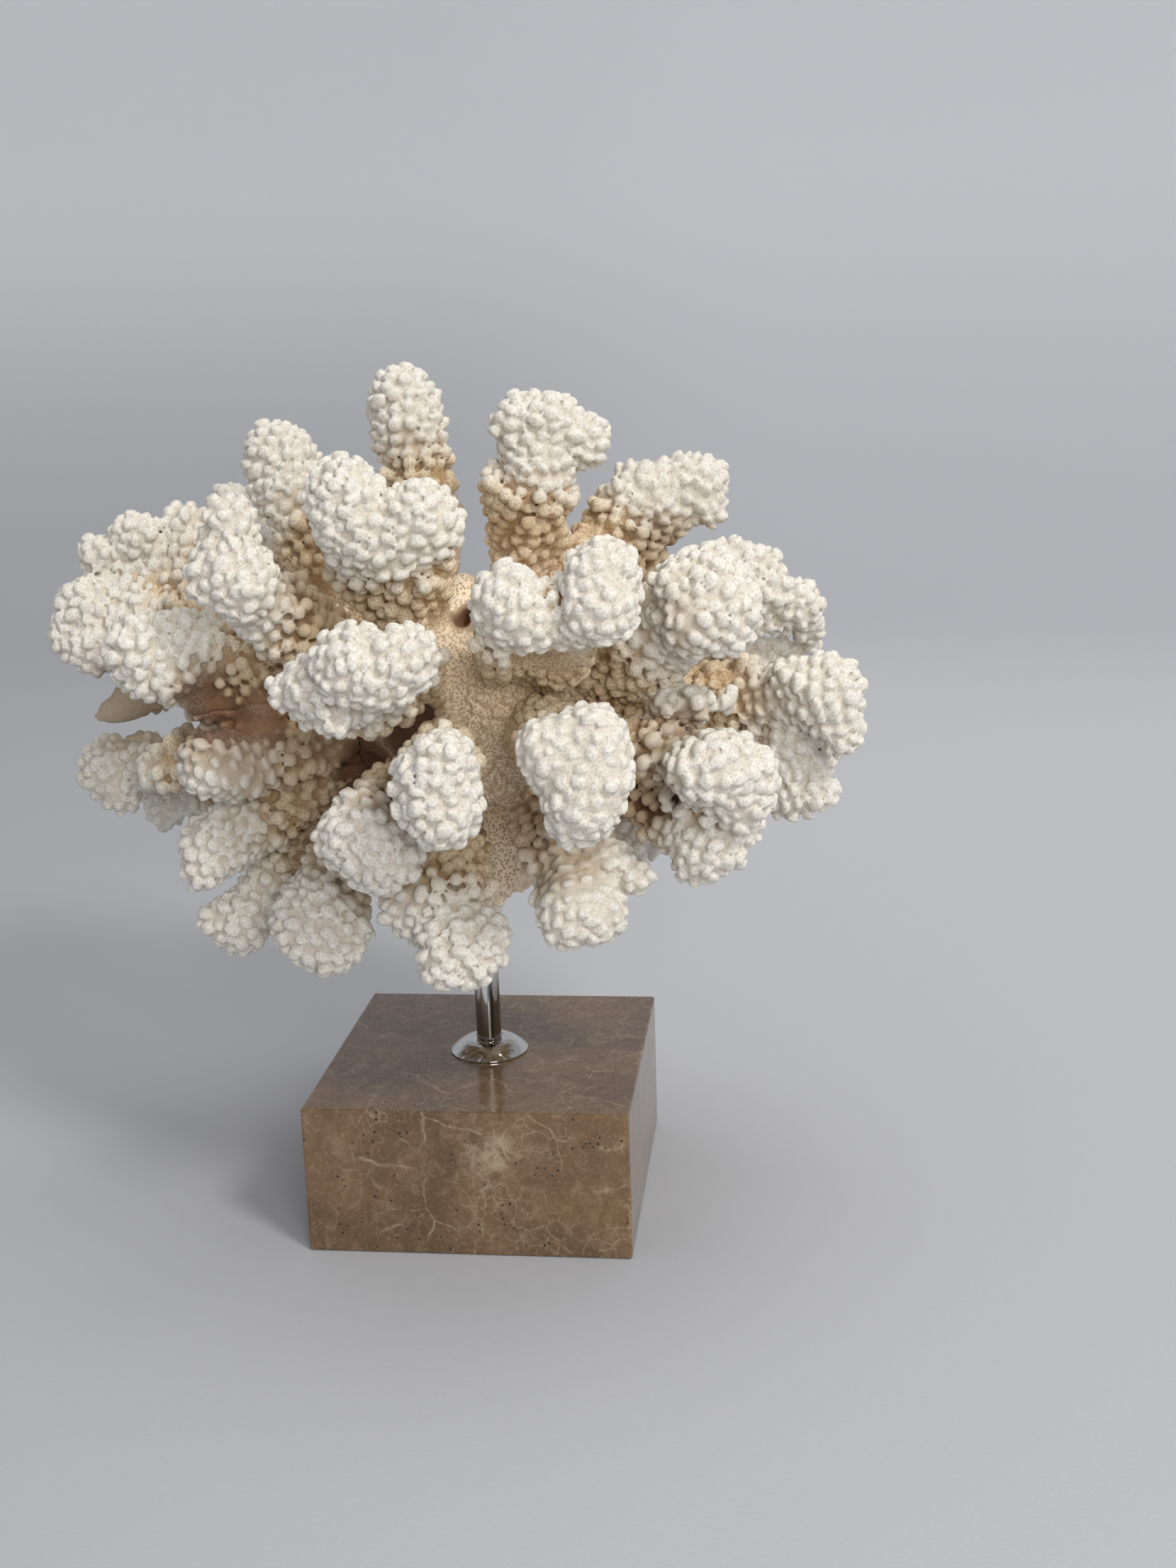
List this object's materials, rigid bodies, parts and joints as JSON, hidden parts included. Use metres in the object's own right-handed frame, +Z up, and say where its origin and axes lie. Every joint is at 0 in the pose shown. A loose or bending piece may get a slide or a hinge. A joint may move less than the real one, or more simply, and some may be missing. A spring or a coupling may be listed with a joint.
{
  "type": "coral on stand",
  "caption": "Bleached branching coral with knobbly club-shaped branches, set on an upright chrome rod with a domed rosette over a square polished stone block.",
  "frame": {"origin": "middle of the stone block's underside", "axes": "+Z up along the rod, -Y towards the viewer of the picture, +X to the viewer's right, X and Y square to the block's sides"},
  "size_m": [0.2532, 0.1987, 0.2625],
  "materials": {
    "stone": "polished brown marble with pale veins",
    "chrome": "bright polished",
    "coral_core": "matte, warm beige, finely pitted",
    "coral": "matte bleached white with small open cups"
  },
  "bodies": {
    "root": {"stone_block": "stone", "rod": "chrome", "flange": "chrome", "coral_core": "coral_core", "branch_top_left": "coral", "branch_top_right": "coral", "branch_front_top_left": "coral", "branch_rear_top_left": "coral", "branch_far_top_left": "coral", "branch_left_fan": "coral", "branch_left_upper": "coral", "branch_left_lower": "coral", "branch_front_left": "coral", "branch_left_rear_low": "coral", "branch_left_far_low": "coral", "branch_left_mid": "coral", "branch_left_low": "coral", "branch_left_bottom": "coral", "branch_bottom_left": "coral", "branch_front_low_left": "coral", "branch_front_centre": "coral", "branch_bottom": "coral", "branch_front_right": "coral", "branch_bottom_right": "coral", "branch_front_top_right": "coral", "branch_right_upper": "coral", "branch_top_far_right": "coral", "branch_right_rear_upper": "coral", "branch_right": "coral", "branch_right_low": "coral", "branch_right_spur": "coral", "branch_right_rear_low": "coral", "branch_back_top_left": "coral", "branch_back_top_right": "coral", "branch_back_left": "coral", "branch_back_left_low": "coral", "branch_back_centre": "coral", "branch_back_centre_low": "coral", "branch_back_right": "coral", "branch_back_right_low": "coral", "branch_back_bottom": "coral", "branch_back_far_right": "coral"}
  },
  "joints": []
}
